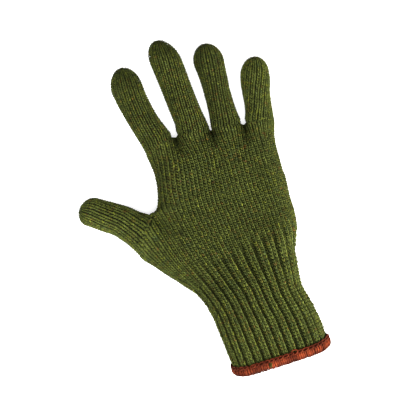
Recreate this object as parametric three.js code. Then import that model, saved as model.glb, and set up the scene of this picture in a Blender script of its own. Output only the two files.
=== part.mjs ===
// A knitted wool glove, lying back up and filled out: ribbed cuff with an overlocked hem, palm, thumb and
// four fingers. Everything is in millimetres. Fingers point along +Y, the thumb towards -X, and the glove
// rests on z = 0. The pattern below is drawn from above, with x = 0 and y = 0 at the middle of the cuff's
// mouth. The last lines move the finished group so that the origin is under the middle of the glove.
//
// The cloth is laid out as the real one is knitted. A wale is a column of stitches that runs from the hem to
// a fingertip, and each cross row is an arch over a chord that joins the left and right outline of the glove.
import * as THREE from "three";
import { mergeVertices } from "three/addons/utils/BufferGeometryUtils.js";

const WALL = 2.4; // plain knit
const RIB_RELIEF = 1.2; // how far a rib stands over the groove beside it
const SECTION_GAP = 0.3; // clearance between neighbouring knitted sections
const EDGE_ROUND = 14; // reach of the rounded edge of a wide chord, seen from above
const CROWN = 0.14; // how much lower the ends of an arch are than its middle, before its edges are rounded
const MID_SHARE = 0.45; // the outline's height, as a share of the thickness
const PRESSED = 1.5; // how far the underside is pressed flat where it rests
const MOUTH_LEAN = 2.5; // how far the top of the cuff's mouth reaches past its sides
const LEAN_LENGTH = 30; // the lean dies out over this length of cuff

// Wales that run up the back of the glove into each digit. The palm side has as many.
const WALES = { thumb: 8, index: 9, middle: 9, ring: 8, little: 8 };
const PALM_WALES = WALES.index + WALES.middle + WALES.ring + WALES.little;
const ALL_WALES = WALES.thumb + PALM_WALES;
const RIB_WALES = 3; // two raised wales and a sunk one make a rib

// A table's rows, with the names of its columns.
const table = (names, rows) =>
  rows.map((row) => Object.fromEntries(names.map((name, i) => [name, row[i]])));

// Chords: left end, right end, thickness of the glove there, and how high the underside is off the surface.
const CHORD = ["lx", "ly", "rx", "ry", "thick", "lift"];
const CUFF = table(CHORD, [
  [-34.5, 11.6, 38.0, 11.6, 33.6, 2.4],
  [-34.5, 15.6, 37.6, 15.6, 33.8, 2.3],
  [-35.0, 22, 37.4, 22, 34, 1.6],
  [-36.0, 36, 36.0, 37, 33.5, 0.3],
  [-37.2, 52, 32.3, 57, 31.5, 0],
  [-40.0, 65, 34.2, 72, 30, 0],
  [-42.6, 71, 35.8, 82, 29, 0],
  [-46.0, 76.3, 40.9, 94, 28.5, 0],
]);
const HEEL = table(CHORD, [
  [-46.0, 76.3, 40.9, 94, 28.5, 0],
  [-57.0, 88, 44.6, 106, 27.5, 0],
  [-67.0, 100.5, 45.0, 120, 26, 0],
  [-76.0, 113, 46.0, 140, 24, 0],
]);
const PALM = table(CHORD, [
  [-57.4, 139.4, 46.0, 140, 24, 0],
  [-52.4, 143.2, 46.3, 146, 23.6, 0],
  [-49.5, 150, 46.6, 152, 23, 0],
  [-47.3, 160, 47.2, 161, 22, 0],
  [-46.6, 171, 49.2, 171, 20.2, 0],
  [-47.9, 184, 52.0, 180.5, 18, 0],
]);
const DIGITS = {
  thumb: {
    node: "thumb",
    tip: [-108.1, 159.5],
    chords: table(CHORD, [
      [-76.0, 113, -57.4, 139.4, 24, 0],
      [-81.0, 122.5, -64.3, 143.6, 22, 0],
      [-89.0, 132.6, -72.4, 150.8, 20, 0],
      [-97.6, 139.1, -83.4, 158, 19, 0],
      [-105.4, 145.3, -92.7, 164.1, 18, 0],
    ]),
  },
  index: {
    node: "index_finger",
    tip: [-46.7, 250.8],
    chords: table(CHORD, [
      [-47.9, 184, -23.0, 189, 18, 0],
      [-49.8, 193.5, -26.4, 196.5, 17.5, 0],
      [-53.2, 207, -30.8, 210, 17, 0],
      [-56.6, 223, -33.4, 226, 16.5, 0],
      [-58.1, 233, -34.0, 235, 16.5, 0],
    ]),
  },
  middle: {
    node: "middle_finger",
    tip: [-13.9, 262.1],
    chords: table(CHORD, [
      [-23.0, 189, 4.0, 186, 18, 0],
      [-20.7, 196, 3.0, 195, 17.5, 0],
      [-21.4, 209, 1.6, 208, 17, 0],
      [-22.6, 228, 0.6, 227, 16.5, 0],
      [-24.0, 245, -0.1, 243, 16.5, 0],
    ]),
  },
  ring: {
    node: "ring_finger",
    tip: [18.7, 248.9],
    chords: table(CHORD, [
      [4.0, 186, 28.5, 182, 18, 0],
      [5.9, 196, 27.0, 194, 17, 0],
      [7.0, 210, 27.2, 209, 16.5, 0],
      [7.3, 223, 28.6, 222, 16, 0],
      [6.7, 235, 29.9, 234, 16, 0],
    ]),
  },
  little: {
    node: "little_finger",
    tip: [50.3, 228.5],
    chords: table(CHORD, [
      [28.5, 182, 52.0, 180.5, 18, 0],
      [32.2, 190.5, 53.5, 190, 17, 0],
      [34.1, 201, 55.4, 200, 16, 0],
      [35.2, 209.5, 58.2, 208, 15.6, 0],
      [36.3, 214.5, 59.2, 213.5, 15.6, 0],
    ]),
  },
};

// How many rows of facets each section has. The dimples under the crotches need closer rows near the end.
const HEEL_STEPS = [0, 0.2, 0.42, 0.64, 0.84, 1];
const PALM_STEPS = [0, 0.1, 0.25, 0.45, 0.67, 0.84, 0.94, 1];
const DIGIT_ROWS = 6;
const TIP_ROWS = 4;
const PARTING_ROW = 1; // a section starts this many rows past its crotch, and the one below holds the crotch
const KNUCKLE_ROW = 4; // the upper palm ends and the finger roots start at this row of the palm
const DIMPLE_ROWS_FROM = 0.62; // the lobes of the next section start to show at this share of a patch

// The hem is a rolled edge with a channel that holds the end of the cuff. Across is measured from the middle
// of the cuff's wall, and along from the cuff's end, both outwards.
const HEM = {
  across: 3.6, // out to each face
  past: 4.7, // beyond the cuff's end
  over: 3.4, // back over the cuff
  slack: 0.6, // between the channel's sides and the cuff's wall
  floor: 0.3, // between the channel's floor and the cuff's end
  round: 2.9, // radius of the outer corners
  lip: 0.8, // how far the faces draw in at the upper edge
};
const HEM_CORNER_STEPS = 2;
const ARCH_STEPS = 16; // fine steps along each part of an arch when its length is measured
const SAME_PLACE = 1e-3; // points closer than this are one point

const lerp = (a, b, t) => a + (b - a) * t;
const smooth = (t) => t * t * (3 - 2 * t);

// A table's value at distance s, on a cubic through its rows.
function valueAt(rows, knots, name, s) {
  let i = 0;
  while (i < knots.length - 2 && s > knots[i + 1]) i++;
  const slope = (k) => {
    const before = Math.max(k - 1, 0);
    const after = Math.min(k + 1, rows.length - 1);
    return (
      (rows[after][name] - rows[before][name]) / (knots[after] - knots[before])
    );
  };
  const length = knots[i + 1] - knots[i];
  const t = (s - knots[i]) / length;
  const t2 = t * t;
  const t3 = t2 * t;
  return (
    (2 * t3 - 3 * t2 + 1) * rows[i][name] +
    (t3 - 2 * t2 + t) * length * slope(i) +
    (3 * t2 - 2 * t3) * rows[i + 1][name] +
    (t3 - t2) * length * slope(i + 1)
  );
}

// Distances of a table's chords along the line through their middles.
function knotsOf(rows) {
  const knots = [0];
  for (let i = 1; i < rows.length; i++) {
    const [a, b] = [rows[i - 1], rows[i]];
    const dx = (b.lx + b.rx - a.lx - a.rx) / 2;
    const dy = (b.ly + b.ry - a.ly - a.ry) / 2;
    knots.push(knots[i - 1] + Math.hypot(dx, dy));
  }
  return knots;
}

// The chord at a share t, 0 to 1, of a table's length.
function chordAt(rows, t) {
  const knots = knotsOf(rows);
  const s = t * knots[knots.length - 1];
  return Object.fromEntries(
    CHORD.map((name) => [name, valueAt(rows, knots, name, s)])
  );
}

// Where each wale lies on a chord's arch, at even steps along the cloth: its share of the chord, and its
// height from 0 at the outline to 1 on top. A side that isn't rounded runs on into the next chord.
function arch(wales, width, thick, roundLeft = true, roundRight = true) {
  const round = Math.min(EDGE_ROUND, width / 2);
  const points = [];
  const left = roundLeft ? round : 0;
  const right = roundRight ? round : 0;
  for (let i = 0; i < ARCH_STEPS && roundLeft; i++) {
    const a = (i / ARCH_STEPS) * (Math.PI / 2);
    points.push([round * (1 - Math.cos(a)), Math.sin(a)]);
  }
  for (let i = 0; i <= ARCH_STEPS; i++)
    points.push([lerp(left, width - right, i / ARCH_STEPS), 1]);
  for (let i = ARCH_STEPS - 1; i >= 0 && roundRight; i--) {
    const a = (i / ARCH_STEPS) * (Math.PI / 2);
    points.push([width - round * (1 - Math.cos(a)), Math.sin(a)]);
  }
  for (const point of points) point[1] *= 1 - CROWN * (1 - (2 * point[0]) / width) ** 2;
  const lengths = [0];
  for (let i = 1; i < points.length; i++) {
    const du = points[i][0] - points[i - 1][0];
    const dh = ((points[i][1] - points[i - 1][1]) * thick) / 2;
    lengths.push(lengths[i - 1] + Math.hypot(du, dh));
  }
  const total = lengths[lengths.length - 1];
  const found = [];
  for (let w = 0, k = 0; w <= wales; w++) {
    const wanted = (w / wales) * total;
    while (k < points.length - 2 && lengths[k + 1] < wanted) k++;
    const t = (wanted - lengths[k]) / (lengths[k + 1] - lengths[k] || 1);
    const u = lerp(points[k][0], points[k + 1][0], t);
    found.push({ share: u / width, height: lerp(points[k][1], points[k + 1][1], t) });
  }
  return found;
}

// A row is a list of places, one for each wale line: x, y, thickness, lift and height on the arch.
function rowOn(chord, wales, roundLeft, roundRight) {
  const width = Math.hypot(chord.rx - chord.lx, chord.ry - chord.ly);
  return arch(wales, width, chord.thick, roundLeft, roundRight).map(
    ({ share, height }) => ({
      x: lerp(chord.lx, chord.rx, share),
      y: lerp(chord.ly, chord.ry, share),
      thick: chord.thick,
      lift: chord.lift,
      height,
    })
  );
}

const blend = (a, b, t) => ({
  x: lerp(a.x, b.x, t),
  y: lerp(a.y, b.y, t),
  thick: lerp(a.thick, b.thick, t),
  lift: lerp(a.lift, b.lift, t),
  height: lerp(a.height, b.height, t),
});

// A patch of cloth that starts on one chord and ends on several, one for each section that grows out of it.
// Its rows bend towards the broken line of those chords, and near it the cloth takes on their lobes.
function branchingPatch(rows, steps, ends) {
  const wales = ends.reduce((sum, end) => sum + end.wales, 0);
  const joined = [];
  const lobes = [];
  ends.forEach(({ chord, wales: count }, k) => {
    const skip = k === 0 ? 0 : 1;
    const last = k === ends.length - 1;
    joined.push(...rowOn(chord, count, k === 0, last).slice(skip));
    lobes.push(...rowOn(chord, count, true, true).slice(skip));
  });
  const top = chordAt(rows, 1);
  const across = { x: top.rx - top.lx, y: top.ry - top.ly };
  const squared = across.x ** 2 + across.y ** 2;
  // Each joined place as a share of the straight chord, and how far off that chord it lies.
  const bends = joined.map(({ x, y }) => {
    const share =
      ((x - top.lx) * across.x + (y - top.ly) * across.y) / squared;
    return {
      share,
      dx: x - top.lx - share * across.x,
      dy: y - top.ly - share * across.y,
    };
  });
  return steps.map((t) => {
    const chord = chordAt(rows, t);
    const plain = rowOn(chord, wales, true, true).map((place, i) => {
      const width = { x: chord.rx - chord.lx, y: chord.ry - chord.ly };
      const share = lerp((place.x - chord.lx) / width.x, bends[i].share, t);
      return {
        ...place,
        x: chord.lx + share * width.x + t * bends[i].dx,
        y: chord.ly + share * width.y + t * bends[i].dy,
      };
    });
    const lobed = Math.max(0, (t - DIMPLE_ROWS_FROM) / (1 - DIMPLE_ROWS_FROM)) ** 2;
    const back = {
      x: (top.lx + top.rx - chord.lx - chord.rx) / 2,
      y: (top.ly + top.ry - chord.ly - chord.ry) / 2,
    };
    return plain.map((place, i) => {
      const lobe = { ...lobes[i], x: lobes[i].x - back.x, y: lobes[i].y - back.y };
      return blend(place, lobe, lobed);
    });
  });
}

// Rows of a digit, from its base chord over its rounded tip, where the wales run together.
function digitRows({ chords, tip }, wales) {
  const rows = [];
  for (let j = 0; j <= DIGIT_ROWS; j++)
    rows.push(rowOn(chordAt(chords, j / DIGIT_ROWS), wales, true, true));
  const last = chordAt(chords, 1);
  const middle = [(last.lx + last.rx) / 2, (last.ly + last.ry) / 2];
  for (let j = 1; j <= TIP_ROWS; j++) {
    const angle = (j / TIP_ROWS) * (Math.PI / 2);
    const out = Math.sin(angle);
    const shrink = j === TIP_ROWS ? 0 : Math.cos(angle);
    const centre = [lerp(middle[0], tip[0], out), lerp(middle[1], tip[1], out)];
    rows.push(
      rowOn(last, wales, true, true).map((place) => ({
        ...place,
        x: centre[0] + (place.x - middle[0]) * shrink,
        y: centre[1] + (place.y - middle[1]) * shrink,
        height: place.height * shrink,
      }))
    );
  }
  return rows;
}

// A place's point on the back of the glove (upper) or on the side it rests on.
function pointOf(place, upper) {
  const mid = MID_SHARE * place.thick;
  const z = upper
    ? mid + (place.thick - mid) * place.height
    : Math.max(0, mid - (mid + PRESSED) * place.height);
  const near = Math.max(0, 1 - (place.y - CUFF[0].ly) / LEAN_LENGTH);
  const lean = MOUTH_LEAN * smooth(near) * (z / mid - 1);
  return new THREE.Vector3(place.x, place.y - lean, z + place.lift);
}

// The outer surface of the whole glove, as points that neighbours share, with a normal at each.
const placeKey = (point) =>
  point
    .toArray()
    .map((v) => Math.round(v / SAME_PLACE))
    .join();
const surface = { points: [], faces: [], index: new Map() };
function shared(point) {
  const key = placeKey(point);
  if (!surface.index.has(key)) {
    surface.index.set(key, surface.points.length);
    surface.points.push(point);
  }
  return surface.index.get(key);
}

// The triangles of a patch given as rows of anything that has an identity, leaving out those without area.
function trianglesOf(rows, upper) {
  const found = [];
  for (let j = 0; j + 1 < rows.length; j++)
    for (let i = 0; i + 1 < rows[j].length; i++) {
      const [a, b] = [rows[j][i], rows[j][i + 1]];
      const [c, d] = [rows[j + 1][i + 1], rows[j + 1][i]];
      for (const t of [
        [a, b, c],
        [a, c, d],
      ])
        if (new Set(t).size === 3) found.push(upper ? t : [t[0], t[2], t[1]]);
    }
  return found;
}

// A section of cloth: its back and its palm side, each as rows of shared points.
function section(rows) {
  return [true, false].map((upper) => {
    const indices = rows.map((row) => row.map((p) => shared(pointOf(p, upper))));
    surface.faces.push(...trianglesOf(indices, upper));
    return indices;
  });
}

const cuff = section(CUFF.map((chord) => rowOn(chord, ALL_WALES, true, true)));
const heel = section(
  branchingPatch(HEEL, HEEL_STEPS, [
    { chord: DIGITS.thumb.chords[0], wales: WALES.thumb },
    { chord: PALM[0], wales: PALM_WALES },
  ])
);
const palm = section(
  branchingPatch(
    PALM,
    PALM_STEPS,
    ["index", "middle", "ring", "little"].map((name) => ({
      chord: DIGITS[name].chords[0],
      wales: WALES[name],
    }))
  )
);
const digits = Object.fromEntries(
  Object.entries(DIGITS).map(([name, digit]) => [
    name,
    section(digitRows(digit, WALES[name])),
  ])
);

// Normals, weighted by area, point out of the cloth.
const normals = surface.points.map(() => new THREE.Vector3());
for (const [a, b, c] of surface.faces) {
  const [p, q, r] = [a, b, c].map((i) => surface.points[i]);
  const cross = q.clone().sub(p).cross(r.clone().sub(p));
  for (const i of [a, b, c]) normals[i].add(cross);
}
normals.forEach((n) => n.normalize());

// Both faces of the cloth at a shared point. The inner one is a wall's thickness in, and ribs raise the
// outer one.
function clothAt(index, rib = 0) {
  const outer = surface.points[index].clone();
  const inner = outer.clone().addScaledVector(normals[index], -WALL);
  outer.addScaledVector(normals[index], rib);
  outer.z = Math.max(outer.z, Math.min(0, surface.points[index].z));
  return { outer, inner };
}
const between = (a, b, t) => ({
  outer: a.outer.clone().lerp(b.outer, t),
  inner: a.inner.clone().lerp(b.inner, t),
});

// Relief of a wale line of the cuff: the sunk wale's line is low and the two beside it are high.
const ribAt = (wale, fade) => (wale % RIB_WALES === 0 ? 0 : RIB_RELIEF * fade);

// A section's sheets as rows of cloth. The first row may be cut short by a gap, towards the next row.
function clothRows(sheets, { gap = 0, ribFade } = {}) {
  return sheets.map((indices, sheet) => {
    const rows = indices.map((row, j) =>
      row.map((index, i) => {
        const wale = sheet === 0 ? i : 2 * ALL_WALES - i;
        return clothAt(index, ribFade ? ribAt(wale, ribFade(j)) : 0);
      })
    );
    if (gap)
      rows[0] = rows[0].map((cloth, i) => {
        const length = cloth.outer.distanceTo(rows[1][i].outer);
        return between(cloth, rows[1][i], gap / length);
      });
    return rows;
  });
}

// One closed solid from patches of cloth: both faces, and a strip along every edge where the cloth ends.
function solidOf(patches) {
  const outer = [];
  for (const sheets of patches)
    sheets.forEach((rows, sheet) => {
      const keyed = rows.map((row) => row.map(keyOf));
      outer.push(...trianglesOf(keyed, sheet === 0));
    });
  const corners = [];
  const put = (...points) => points.forEach((p) => corners.push(...p.toArray()));
  const edges = new Set();
  for (const [a, b, c] of outer) {
    put(cloth.get(a).outer, cloth.get(b).outer, cloth.get(c).outer);
    put(cloth.get(a).inner, cloth.get(c).inner, cloth.get(b).inner);
    for (const [p, q] of [
      [a, b],
      [b, c],
      [c, a],
    ])
      edges.add(p + "|" + q);
  }
  for (const edge of edges) {
    const [p, q] = edge.split("|");
    if (edges.has(q + "|" + p)) continue;
    const [a, b] = [cloth.get(p), cloth.get(q)];
    put(b.outer, a.outer, a.inner);
    put(b.outer, a.inner, b.inner);
  }
  return meshGeometry(corners);
}

// Cloth points that coincide are one point, found again by where they are.
const cloth = new Map();
function keyOf(c) {
  const key = placeKey(c.outer);
  if (!cloth.has(key)) cloth.set(key, c);
  return key;
}

function meshGeometry(corners) {
  const geometry = new THREE.BufferGeometry();
  geometry.setAttribute("position", new THREE.Float32BufferAttribute(corners, 3));
  const merged = mergeVertices(geometry, SAME_PLACE);
  merged.computeVertexNormals();
  return merged;
}

// The hem follows the middle of the wall at the cuff's end, with its channel open towards the cuff.
function hemGeometry() {
  const [upper, lower] = clothRows(cuff, { ribFade: cuffRibs });
  const ring = [];
  const addPoint = (rows, i) => {
    const { outer, inner } = rows[0][i];
    const along = rows[1][i].outer.clone().sub(outer).normalize();
    ring.push({
      centre: outer.clone().add(inner).multiplyScalar(0.5),
      out: outer.clone().sub(inner).normalize(),
      along,
    });
  };
  for (let i = 0; i < ALL_WALES; i++) addPoint(upper, i);
  for (let i = ALL_WALES; i > 0; i--) addPoint(lower, i);
  const halfChannel = WALL / 2 + HEM.slack;
  const profile = [
    [-halfChannel, HEM.over],
    [-halfChannel, -HEM.floor],
    [halfChannel, -HEM.floor],
    [halfChannel, HEM.over],
  ];
  for (const side of [1, -1]) {
    const round = [
      [side * (HEM.across - HEM.lip), HEM.over],
      [side * HEM.across, HEM.over - HEM.lip],
    ];
    for (let k = 0; k <= HEM_CORNER_STEPS; k++) {
      const a = (k / HEM_CORNER_STEPS) * (Math.PI / 2);
      round.push([
        side * (HEM.across - HEM.round * (1 - Math.cos(a))),
        -HEM.past + HEM.round * (1 - Math.sin(a)),
      ]);
    }
    profile.push(...(side > 0 ? round : round.reverse()));
  }
  const rings = ring
    .filter((_, i) => i % 2 === 0)
    .map(({ centre, out, along }) =>
      profile.map(([across, up]) => {
        const p = centre
          .clone()
          .addScaledVector(out, across)
          .addScaledVector(along, up);
        p.z = Math.max(0, p.z);
        return p;
      })
    );
  const corners = [];
  rings.forEach((here, i) => {
    const next = rings[(i + 1) % rings.length];
    here.forEach((a, k) => {
      const m = (k + 1) % here.length;
      for (const p of [a, next[m], next[k], a, here[m], next[m]])
        corners.push(...p.toArray());
    });
  });
  return meshGeometry(corners);
}

// Ribs are full in the cuff, flat inside the hem, and die out over the first rows of the heel.
const cuffRibs = (j) => (j < 2 ? 0 : 1);
const heelRibs = (j) => Math.max(0, 1 - j / 2);

const olive = new THREE.MeshStandardMaterial({ color: 0x4b5a20, roughness: 0.95, metalness: 0 });
const rust = new THREE.MeshStandardMaterial({ color: 0xa8482a, roughness: 0.85, metalness: 0 });

const glove = new THREE.Group();
function addNode(name, geometry, material) {
  const mesh = new THREE.Mesh(geometry, material);
  mesh.name = name;
  glove.add(mesh);
}

// A stretch of a section, from one of its rows to another. It starts a gap past the stretch below it.
function stretch(sheets, from, to = Infinity) {
  const rows = sheets.map((sheet) => sheet.slice(from, to + 1));
  return clothRows(rows, { gap: from > 0 ? SECTION_GAP : 0 });
}
const fingers = ["index", "middle", "ring", "little"].map((name) => digits[name]);

addNode("cuff_hem", hemGeometry(), rust);
addNode("rib_cuff", solidOf([clothRows(cuff, { ribFade: cuffRibs })]), olive);
addNode(
  "lower_palm",
  solidOf([
    clothRows(heel, { gap: SECTION_GAP, ribFade: heelRibs }),
    stretch(digits.thumb, 0, PARTING_ROW),
    stretch(palm, 0, PARTING_ROW),
  ]),
  olive
);
addNode("upper_palm", solidOf([stretch(palm, PARTING_ROW, KNUCKLE_ROW)]), olive);
addNode(
  "finger_roots",
  solidOf([
    stretch(palm, KNUCKLE_ROW),
    ...fingers.map((finger) => stretch(finger, 0, PARTING_ROW)),
  ]),
  olive
);
for (const [name, sheets] of Object.entries(digits))
  addNode(DIGITS[name].node, solidOf([stretch(sheets, PARTING_ROW)]), olive);

// The origin goes to the middle of the glove's outline, on the surface that it rests on.
const bounds = new THREE.Box3().setFromObject(glove, true);
const centre = bounds.getCenter(new THREE.Vector3());
glove.position.set(-centre.x, -centre.y, -bounds.min.z);

export default glove;
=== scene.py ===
"""Looks of a knitted wool glove: its stitches of yarn, its ribbed cuff and its overlocked hem."""

import math

import bpy
import numpy as np
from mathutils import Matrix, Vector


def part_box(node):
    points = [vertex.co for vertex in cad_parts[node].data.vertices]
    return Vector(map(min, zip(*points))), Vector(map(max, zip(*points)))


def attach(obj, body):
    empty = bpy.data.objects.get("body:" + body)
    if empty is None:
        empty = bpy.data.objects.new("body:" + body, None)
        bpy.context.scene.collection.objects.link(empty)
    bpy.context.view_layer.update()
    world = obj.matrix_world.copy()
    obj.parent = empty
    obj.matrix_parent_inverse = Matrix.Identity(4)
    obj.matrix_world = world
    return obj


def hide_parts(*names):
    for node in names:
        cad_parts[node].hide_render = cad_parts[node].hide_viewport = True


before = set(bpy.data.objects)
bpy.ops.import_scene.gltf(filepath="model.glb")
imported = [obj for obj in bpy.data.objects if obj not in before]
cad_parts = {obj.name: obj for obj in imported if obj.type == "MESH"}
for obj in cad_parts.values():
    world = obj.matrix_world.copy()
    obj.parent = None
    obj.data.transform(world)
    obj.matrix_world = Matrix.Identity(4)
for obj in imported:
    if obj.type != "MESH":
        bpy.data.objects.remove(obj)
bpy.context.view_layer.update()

MM = 0.001
rng = np.random.default_rng(7)

# The cloth, in millimetres, as the part's source lays it out. x and y are 0 at the middle of the mouth.
WALL = 2.4
EDGE_ROUND = 14.0  # width over which the cloth rounds up from its outline
CROWN = 0.14  # share by which the arch is lower at its sides
MID_SHARE = 0.45  # height of the outline, as a share of the thickness
PRESSED = 1.5  # how far below the surface the underside would reach, if it weren't pressed flat
MOUTH_LEAN = 2.5  # how far the mouth's upper edge leans out
LEAN_LENGTH = 30.0
LOBES_FROM = 0.62  # share of a branching piece's length from which it takes on its lobes
ARCH_STEPS = 48

# Chords: left end x and y, right end x and y, thickness of the glove there, height of its underside.
LX, LY, RX, RY, THICK, LIFT = range(6)
CUFF = np.array([
    [-34.5, 11.6, 38, 11.6, 33.6, 2.4],
    [-34.5, 15.6, 37.6, 15.6, 33.8, 2.3],
    [-35, 22, 37.4, 22, 34, 1.6],
    [-36, 36, 36, 37, 33.5, 0.3],
    [-37.2, 52, 32.3, 57, 31.5, 0],
    [-40, 65, 34.2, 72, 30, 0],
    [-42.6, 71, 35.8, 82, 29, 0],
    [-46, 76.3, 40.9, 94, 28.5, 0],
])
HEEL = np.array([
    CUFF[-1],
    [-57, 88, 44.6, 106, 27.5, 0],
    [-67, 100.5, 45, 120, 26, 0],
    [-76, 113, 46, 140, 24, 0],
])
PALM = np.array([
    [-57.4, 139.4, 46, 140, 24, 0],
    [-52.4, 143.2, 46.3, 146, 23.6, 0],
    [-49.5, 150, 46.6, 152, 23, 0],
    [-47.3, 160, 47.2, 161, 22, 0],
    [-46.6, 171, 49.2, 171, 20.2, 0],
    [-47.9, 184, 52, 180.5, 18, 0],
])
THUMB = np.array([
    [-76, 113, -57.4, 139.4, 24, 0],
    [-81, 122.5, -64.3, 143.6, 22, 0],
    [-89, 132.6, -72.4, 150.8, 20, 0],
    [-97.6, 139.1, -83.4, 158, 19, 0],
    [-105.4, 145.3, -92.7, 164.1, 18, 0],
])
INDEX = np.array([
    [-47.9, 184, -23, 189, 18, 0],
    [-49.8, 193.5, -26.4, 196.5, 17.5, 0],
    [-53.2, 207, -30.8, 210, 17, 0],
    [-56.6, 223, -33.4, 226, 16.5, 0],
    [-58.1, 233, -34, 235, 16.5, 0],
])
MIDDLE = np.array([
    [-23, 189, 4, 186, 18, 0],
    [-20.7, 196, 3, 195, 17.5, 0],
    [-21.4, 209, 1.6, 208, 17, 0],
    [-22.6, 228, 0.6, 227, 16.5, 0],
    [-24, 245, -0.1, 243, 16.5, 0],
])
RING = np.array([
    [4, 186, 28.5, 182, 18, 0],
    [5.9, 196, 27, 194, 17, 0],
    [7, 210, 27.2, 209, 16.5, 0],
    [7.3, 223, 28.6, 222, 16, 0],
    [6.7, 235, 29.9, 234, 16, 0],
])
LITTLE = np.array([
    [28.5, 182, 52, 180.5, 18, 0],
    [32.2, 190.5, 53.5, 190, 17, 0],
    [34.1, 201, 55.4, 200, 16, 0],
    [35.2, 209.5, 58.2, 208, 15.6, 0],
    [36.3, 214.5, 59.2, 213.5, 15.6, 0],
])
FINGERS = ["index", "middle", "ring", "little"]


def by_digit(*values):
    return dict(zip(["thumb", *FINGERS], values))


DIGITS = by_digit(THUMB, INDEX, MIDDLE, RING, LITTLE)
TIPS = by_digit((-108.1, 159.5), (-46.7, 250.8), (-13.9, 262.1), (18.7, 248.9), (50.3, 228.5))
COLUMNS = by_digit(8, 9, 9, 8, 8)
PALM_COLUMNS = 34
CUFF_COLUMNS = 42
WALES = by_digit(7, 8, 8, 7, 7)  # across the back of each digit
THUMB_WALES = WALES["thumb"]
# Wales run round a digit a little as they go up it: columns for each course.
DRIFT = by_digit(0.05, 0.05, 0.055, 0.045, 0.11)
THUMB_PARTS_AT = 0.1  # the lower palm ends at this share of the palm
KNUCKLES_AT = 0.67  # the finger roots start at this share of it
DIGIT_PARTS_AT = 1 / 6  # a digit starts at this share of its chords

# Radius of the rounded crotch on each side of a digit's base, left and right.
CROTCHES = by_digit((0, 1.4), (0, 2.1), (2.1, 0.7), (0.7, 1.8), (1.8, 0))
CROTCH_SLOPE = 0.4  # how fast the outlines part above a crotch, without its rounding

# The knitting.
FINE = 4  # grid columns in each column of the cloth
ROWS = 6  # grid rows in each course
CUFF_COURSE = 2.45
PALM_COURSE = 2.05
DIGIT_COURSE = 1.82
RIB_RELIEF = 1.2
RIB_WALES = 3
GROOVE = 0.9  # how far a rib's groove lies inside the outer surface
SKIN = 1.3  # the ground under the yarn lies this far inside the outer surface
SKIN_LEAST = 0.35  # share of that where the wales draw together and their strands are thin
SKIN_PITCH = 2.6  # the wales' pitch from which it is the whole depth
SKIN_BEFORE, SKIN_PAST = 0.2, 0.1  # courses by which it runs past a piece's first and last
GROOVE_SKIN = 0.8  # share of a groove's depth that it follows
RIB_GROUND_PAINTED_LIGHT = 0.8  # painted light and shade: how much brighter the ground is painted for each millimetre that a rib rises, and darker where it sinks
INSIDE_TINT = 0.7
TIP_TINT = 0.22  # of what closes a digit's tip
LEG_STATIONS = 5
LEG_ACROSS = np.radians([-20, 40, 90, 140, 200])
LEG_PAINTED_SHADE = np.array([0.40, 0.92, 1.12, 0.92, 0.40])  # painted shade: the yarn is painted darker where it lies against its neighbours
TIP_ENDS = 0.94  # share of a tip's quarter turn that is knitted row by row


def chord_at(rows, t):
    """Chords at shares t of a table's length, on a cubic through its rows."""
    middles = (rows[:, :2] + rows[:, 2:4]) / 2
    knots = np.concatenate([[0], np.cumsum(np.linalg.norm(np.diff(middles, axis=0), axis=1))])
    s = np.asarray(t, float) * knots[-1]
    i = np.clip(np.searchsorted(knots, s, side="left") - 1, 0, len(rows) - 2)
    last = len(rows) - 1
    before = np.maximum(np.arange(len(rows)) - 1, 0)
    after = np.minimum(np.arange(len(rows)) + 1, last)
    slopes = (rows[after] - rows[before]) / (knots[after] - knots[before])[:, None]
    length = (knots[i + 1] - knots[i])[:, None]
    u = (s - knots[i])[:, None] / length
    return (
        (2 * u**3 - 3 * u**2 + 1) * rows[i]
        + (u**3 - 2 * u**2 + u) * length * slopes[i]
        + (3 * u**2 - 2 * u**3) * rows[i + 1]
        + (u**3 - u**2) * length * slopes[i + 1]
    )


def arch(columns, width, thick, round_left=True, round_right=True):
    """Share of the chord and height, from 0 at the outline to 1 on top, at even steps along the cloth."""
    reach = min(EDGE_ROUND, width / 2)
    a = np.linspace(0, math.pi / 2, ARCH_STEPS, endpoint=False)
    left = reach if round_left else 0
    right = reach if round_right else 0
    across = [np.linspace(left, width - right, ARCH_STEPS + 1)]
    heights = [np.ones(ARCH_STEPS + 1)]
    if round_left:
        across.insert(0, reach * (1 - np.cos(a)))
        heights.insert(0, np.sin(a))
    if round_right:
        across.append(width - reach * (1 - np.cos(a[::-1])))
        heights.append(np.sin(a[::-1]))
    u = np.concatenate(across)
    h = np.concatenate(heights) * (1 - CROWN * (1 - 2 * u / width) ** 2)
    steps = np.hypot(np.diff(u), np.diff(h) * thick / 2)
    length = np.concatenate([[0], np.cumsum(steps + 1e-9)])
    wanted = np.linspace(0, length[-1], columns + 1)
    return np.interp(wanted, length, u) / width, np.interp(wanted, length, h)


def row_on(chord, columns, round_left=True, round_right=True):
    """A row of places along a chord: x, y, thickness, lift, height on the arch."""
    width = math.hypot(chord[RX] - chord[LX], chord[RY] - chord[LY])
    share, height = arch(columns, width, chord[THICK], round_left, round_right)
    x = chord[LX] + (chord[RX] - chord[LX]) * share
    y = chord[LY] + (chord[RY] - chord[LY]) * share
    return np.stack([x, y, np.full_like(x, chord[THICK]), np.full_like(x, chord[LIFT]), height], axis=1)


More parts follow.
